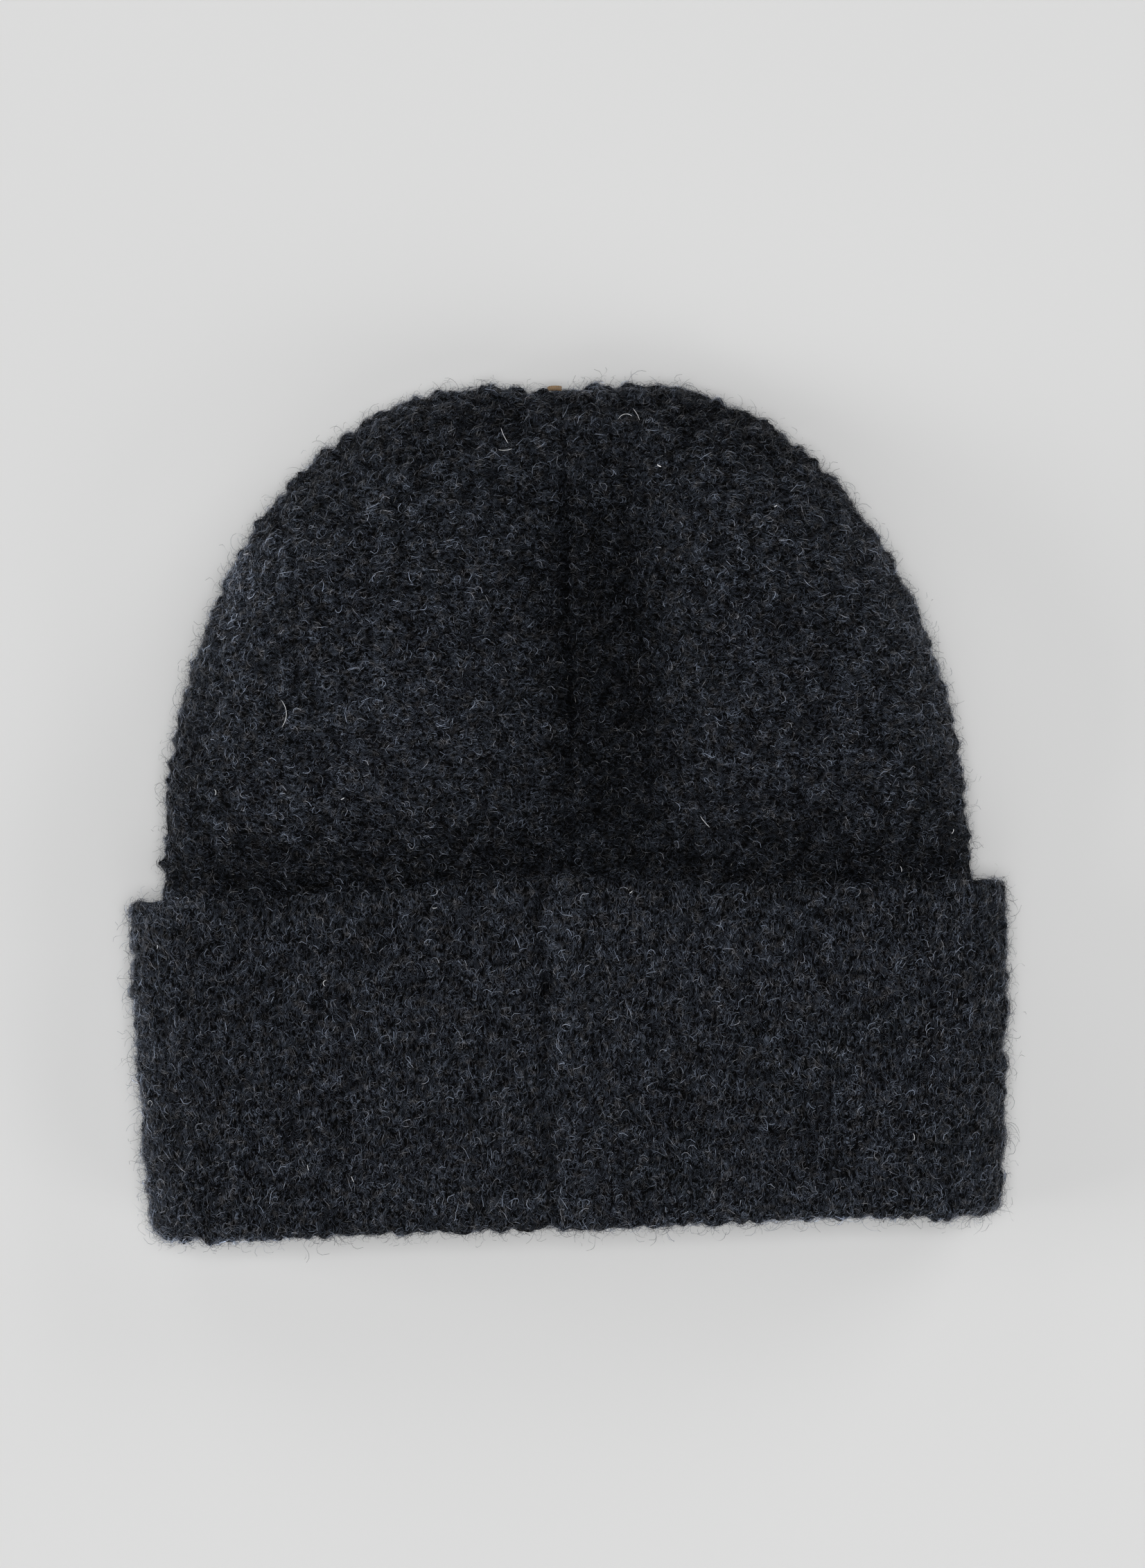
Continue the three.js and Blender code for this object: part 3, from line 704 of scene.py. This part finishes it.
def fuzzTree(form, rows, steps, v):
    labels = ("Density", "Length", "Width", "Way", "Swirl", "Spread", "Lean", "Clumping", "Edge",
              "Shade Low", "Shade High")
    sizes = [(label, "Float") for label in labels] + [("Seed", "Int"), ("Material", "Material")]
    tree, source, target = newGeoTree("boucleFuzz" + form.capitalize(), sizes)
    normal = put(tree, "GeometryNodeInputNormal").outputs["Normal"]
    up = put(tree, "ShaderNodeSeparateXYZ", {0: normal}).outputs[2]
    share = ramp(tree, up, v["underTo"], v["topFrom"], v["underShare"], 1.0)
    weight = readMark(tree, "show")
    knob = readMark(tree, "knob")
    density = math2(tree, "MULTIPLY", math2(tree, "MULTIPLY", share, weight), source["Density"])
    clump = math2(tree, "SUBTRACT", knob, bumpForm["markMiddle"])
    clump = math2(tree, "MULTIPLY", clump, source["Clumping"])
    density = math2(tree, "MULTIPLY", density, math2(tree, "MULTIPLY_ADD", clump, v["gather"], 1.0))
    side = ramp(tree, math2(tree, "ABSOLUTE", up), v["edgeFull"], v["edgeEnd"], source["Edge"], 1.0)
    density = math2(tree, "MULTIPLY", density, side)
    spots = {"Mesh": source["Geometry"], "Density": density, "Seed": source["Seed"]}
    spots = put(tree, "GeometryNodeDistributePointsOnFaces", spots).outputs
    curves = fibreShapes(tree, rows, steps)
    shapeList = [ribbon(tree, curve, source["Width"], fibreRibbon) for curve in curves]
    joined = put(tree, "GeometryNodeJoinGeometry")
    for shape in reversed(shapeList):
        tree.links.new(shape, joined.inputs[0])
    place = put(tree, "GeometryNodeInputPosition").outputs[0]
    clumps = noise(tree, place, v["swirlScale"], 1.0)["Fac"]
    swing = math2(tree, "MULTIPLY", math2(tree, "SUBTRACT", clumps, 0.5), source["Swirl"])

    def chance(low, high, draw):
        seed = math2(tree, "ADD", source["Seed"], float(v["draws"][draw]))
        values = {2: low, 3: high, "Seed": seed}
        return put(tree, "FunctionNodeRandomValue", values, data_type="FLOAT").outputs[1]

    spin = math2(tree, "MULTIPLY", chance(-1.0, 1.0, "spin"), source["Spread"])
    spin = math2(tree, "ADD", math2(tree, "ADD", spin, swing), source["Way"])
    leanX = math2(tree, "MULTIPLY", chance(-1.0, 1.0, "leanX"), source["Lean"])
    leanY = math2(tree, "MULTIPLY", chance(-1.0, 1.0, "leanY"), source["Lean"])
    turn = put(tree, "ShaderNodeCombineXYZ", {0: leanX, 1: leanY, 2: spin}).outputs[0]
    turn = put(tree, "FunctionNodeEulerToRotation", {0: turn}).outputs[0]
    stand = put(tree, "FunctionNodeAlignRotationToVector", {"Vector": spots["Normal"]}, axis="Z").outputs[0]
    turned = put(tree, "FunctionNodeRotateRotation", {0: stand, 1: turn}, rotation_space="LOCAL").outputs[0]
    size = math2(tree, "POWER", chance(0.0, 1.0, "size"), v["sizePower"])
    size = math2(tree, "MULTIPLY_ADD", size, v["sizeSpan"], v["smallest"])
    size = math2(tree, "MULTIPLY", size, source["Length"])
    pick = {4: 0, 5: len(shapeList) - 1, "Seed": source["Seed"]}
    pick = put(tree, "FunctionNodeRandomValue", pick, data_type="INT").outputs[2]
    placed = {"Points": spots["Points"], "Instance": joined.outputs[0], "Pick Instance": True,
              "Instance Index": pick, "Rotation": turned, "Scale": size}
    placed = put(tree, "GeometryNodeInstanceOnPoints", placed).outputs[0]
    toned = math2(tree, "POWER", chance(0.0, 1.0, "shade"), v["shadePower"])
    toned = ramp(tree, toned, 0.0, 1.0, source["Shade Low"], source["Shade High"])
    # painted shade: fibres darker off the knobs and paler on them, times the fold mark's painted shade and
    # light
    knobShade = math2(tree, "MULTIPLY_ADD", clump, v["knobShadeGain"], v["knobShadeBase"])
    toned = math2(tree, "MULTIPLY", toned, knobShade)
    toned = math2(tree, "MULTIPLY", toned, readMark(tree, "paintedShading"))
    shaded = storeMark(tree, placed, "shade", toned, "INSTANCE")
    real = put(tree, "GeometryNodeRealizeInstances", {"Geometry": shaded}).outputs[0]
    place = put(tree, "GeometryNodeInputPosition").outputs[0]
    parts = put(tree, "ShaderNodeSeparateXYZ", {0: place}).outputs
    level = math2(tree, "MAXIMUM", parts[2], v["floorGap"])
    above = put(tree, "ShaderNodeCombineXYZ", {0: parts[0], 1: parts[1], 2: level}).outputs[0]
    real = put(tree, "GeometryNodeSetPosition", {"Geometry": real, "Position": above}).outputs[0]
    smooth = put(tree, "GeometryNodeSetShadeSmooth", {"Geometry": real}).outputs[0]
    final = put(tree, "GeometryNodeSetMaterial", {"Geometry": smooth, "Material": source["Material"]})
    tree.links.new(final.outputs[0], target["Geometry"])
    return tree


fuzzTrees = {form: fuzzTree(form, rows, steps, fuzzForm) for form, (rows, steps) in fibreForms.items()}


def addFuzz(v):
    skin = knitPieces[v["skin"]]
    values = {"Density": v["perMm2"] / mm ** 2, "Length": v["length"], "Width": v["width"], "Way": v["way"],
              "Swirl": v["swirl"], "Spread": v["spread"], "Lean": v["lean"], "Clumping": v["clumping"],
              "Edge": v["edge"], "Shade Low": v["shade"][0], "Shade High": v["shade"][1],
              "Seed": v["seed"], "Material": fibre}
    piece = addPiece(v["name"], meshFromTree(skin, fuzzTrees[v["form"]], values))
    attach(piece, "root")
    print(v["name"], 2 * len(piece.data.polygons), "triangles")


for row in fuzzes:
    addFuzz(row)


# a round strand along points, thinner towards its ends
def strandMesh(bm, points, radius, sides, taper=0.4, taperSteps=3):
    rings = []
    for i, point in enumerate(points):
        ahead = (points[min(i + 1, len(points) - 1)] - points[max(i - 1, 0)]).normalized()
        across = ahead.cross(Vector((0, 0, 1)) if abs(ahead.z) < 0.9 else Vector((1, 0, 0))).normalized()
        upward = across.cross(ahead)
        ends = min(i, len(points) - 1 - i) / taperSteps
        r = radius * (taper + (1 - taper) * min(ends, 1.0))
        ring = []
        for k in range(sides):
            turn = 2 * math.pi * k / sides
            ring.append(bm.verts.new(point + across * r * math.cos(turn) + upward * r * math.sin(turn)))
        rings.append(ring)
    for a, b in zip(rings, rings[1:]):
        for k in range(sides):
            bm.faces.new((a[k], a[(k + 1) % sides], b[(k + 1) % sides], b[k]))
    bm.faces.new(reversed(rings[0]))
    bm.faces.new(rings[-1])


def strandPiece(name, bm, material):
    bmesh.ops.recalc_face_normals(bm, faces=bm.faces)
    mesh = bpy.data.meshes.new(name)
    bm.to_mesh(mesh)
    bm.free()
    mesh.polygons.foreach_set("use_smooth", [True] * len(mesh.polygons))
    mesh.materials.append(material)
    piece = addPiece(name, mesh)
    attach(piece, "root")
    return piece


# the stitch that draws the top together: two plies twisted round each other, bowed between its ends
stitch = {"plies": 2, "turns": 3.2, "plyRadius": 0.42 * mm, "twistRadius": 0.33 * mm, "bow": 0.35 * mm,
          "steps": 48, "sides": 10, "fibreSize": 0.35 * mm,
          "tan": (0.2, 0.125, 0.065, 1), "pale": (0.34, 0.23, 0.13, 1), "roughness": 0.65, "specular": 0.3,
          "slant": (0.0, 0.0, 0.6), "stretch": (0.35, 1.0, 1.0), "relief": 0.15 * mm, "reliefStrength": 0.6}


def threadMaterial(v):
    material = bpy.data.materials.new("tanThread")
    material.use_nodes = True
    tree = material.node_tree
    shader = tree.nodes["Principled BSDF"]
    shader.inputs["Roughness"].default_value = v["roughness"]
    shader.inputs["Specular IOR Level"].default_value = v["specular"]
    place = put(tree, "ShaderNodeTexCoord").outputs["Object"]
    slant = {"Vector": place, "Rotation": v["slant"], "Scale": v["stretch"]}
    slant = put(tree, "ShaderNodeMapping", slant).outputs[0]
    hairs = noise(tree, slant, 1 / v["fibreSize"], 3.0)["Fac"]
    color = put(tree, "ShaderNodeMix", {0: hairs, 6: v["tan"], 7: v["pale"]}, data_type="RGBA").outputs[2]
    tree.links.new(color, shader.inputs["Base Color"])
    relief = {"Height": hairs, "Strength": v["reliefStrength"], "Distance": v["relief"]}
    bump = put(tree, "ShaderNodeBump", relief)
    tree.links.new(bump.outputs["Normal"], shader.inputs["Normal"])
    return material


def addStitch(v):
    low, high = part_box("gather_thread")
    centre = (low + high) / 2
    reach = (high.x - low.x) / 2 - v["plyRadius"]
    bm = bmesh.new()
    for ply in range(v["plies"]):
        points = []
        for i in range(v["steps"] + 1):
            t = i / v["steps"]
            turn = 2 * math.pi * (t * v["turns"] + ply / v["plies"])
            bow = v["bow"] * (1 - (2 * t - 1) ** 2)
            twist = Vector((0, math.cos(turn), math.sin(turn))) * v["twistRadius"]
            points.append(centre + Vector(((2 * t - 1) * reach, bow * 0.5, bow - v["bow"] / 2)) + twist)
        strandMesh(bm, points, v["plyRadius"], v["sides"])
    piece = strandPiece("gatherStitch", bm, threadMaterial(v))
    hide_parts("gather_thread")


addStitch(stitch)
print("stitch is made")


# pale lint caught in the wool: place across and along the hat, length, heading (degrees), curl, thickness
lintRows = [
    (-14.8, 103.3, 5.8, -78, 0.4, 1.0), (-15.8, 96.9, 4.4, -22, 0.9, 1.0),
    (16.9, 104.0, 5.5, 75, -2.4, 0.9), (20.9, 107.6, 4.5, -50, -0.5, 0.8),
    (27.0, 91.5, 1.5, -45, 0.5, 2.4), (58.0, 79.0, 1.2, 10, 1.0, 1.8),
    (-75.4, 31.1, 9.5, -45, -1.7, 1.0), (-59.9, 3.6, 1.2, 15, 0.4, 1.8),
    (-94.0, 5.5, 2.2, 40, 2.0, 1.2), (36.0, -3.0, 4.8, -62, 0.4, 1.0),
    (90.0, -20.0, 2.0, 70, 1.2, 1.0), (104.0, -10.0, 1.8, 20, 1.6, 1.2),
    (-65.0, -44.8, 3.0, 160, 3.6, 1.0), (-71.7, -94.0, 1.8, -85, 0.3, 1.1),
    (-60.0, -97.4, 2.0, -75, 0.3, 1.0), (-111.0, -35.4, 1.2, 60, 0.8, 1.2),
    (-114.5, -77.9, 5.2, 0, 6.2, 0.8), (-36.5, -26.0, 1.6, -30, 1.2, 1.1),
    (16.5, -23.5, 1.2, 10, 1.0, 1.3), (91.0, -92.0, 2.4, 55, 1.4, 1.0),
]
lintLook = {"radius": 0.075 * mm, "lift": 1.9 * mm, "steps": 12, "sides": 5, "patchSize": mm / 0.7,
            "wobble": 0.8, "wobbleStep": 2.4, "near": 2,
            "pale": (0.9, 0.91, 0.94, 1), "grey": (0.45, 0.46, 0.48, 1)}


def addLint(rows, v):
    graph = bpy.context.evaluated_depsgraph_get()
    trees = [BVHTree.FromObject(piece, graph) for piece in knitPieces.values()]
    bm = bmesh.new()
    for x, y, length, heading, curl, thick in rows:
        points = []
        at, way = Vector((x, y)) * mm, math.radians(heading)
        for i in range(v["steps"] + 1):
            ground = topHeight(hitsBelow(trees, at.x, at.y))
            points.append(Vector((at.x, at.y, ground + v["lift"])))
            at = at + Vector((math.cos(way), math.sin(way))) * length * mm / v["steps"]
            way += curl / v["steps"] * (1 + v["wobble"] * math.sin(v["wobbleStep"] * i))
        spans = [points[max(i - v["near"], 0):i + v["near"] + 1] for i in range(len(points))]
        smooth = [sum(span, Vector()) / len(span) for span in spans]
        strandMesh(bm, smooth, v["radius"] * thick, v["sides"])
    material = bpy.data.materials.new("paleLint")
    material.use_nodes = True
    tree = material.node_tree
    place = put(tree, "ShaderNodeTexCoord").outputs["Object"]
    patches = noise(tree, place, 1 / v["patchSize"], 2.0)["Fac"]
    mixed = {0: patches, 6: v["pale"], 7: v["grey"]}
    color = put(tree, "ShaderNodeMix", mixed, data_type="RGBA").outputs[2]
    tree.links.new(color, tree.nodes["Principled BSDF"].inputs["Base Color"])
    strandPiece("lint", bm, material)


addLint(lintRows, lintLook)
print("lint is made")
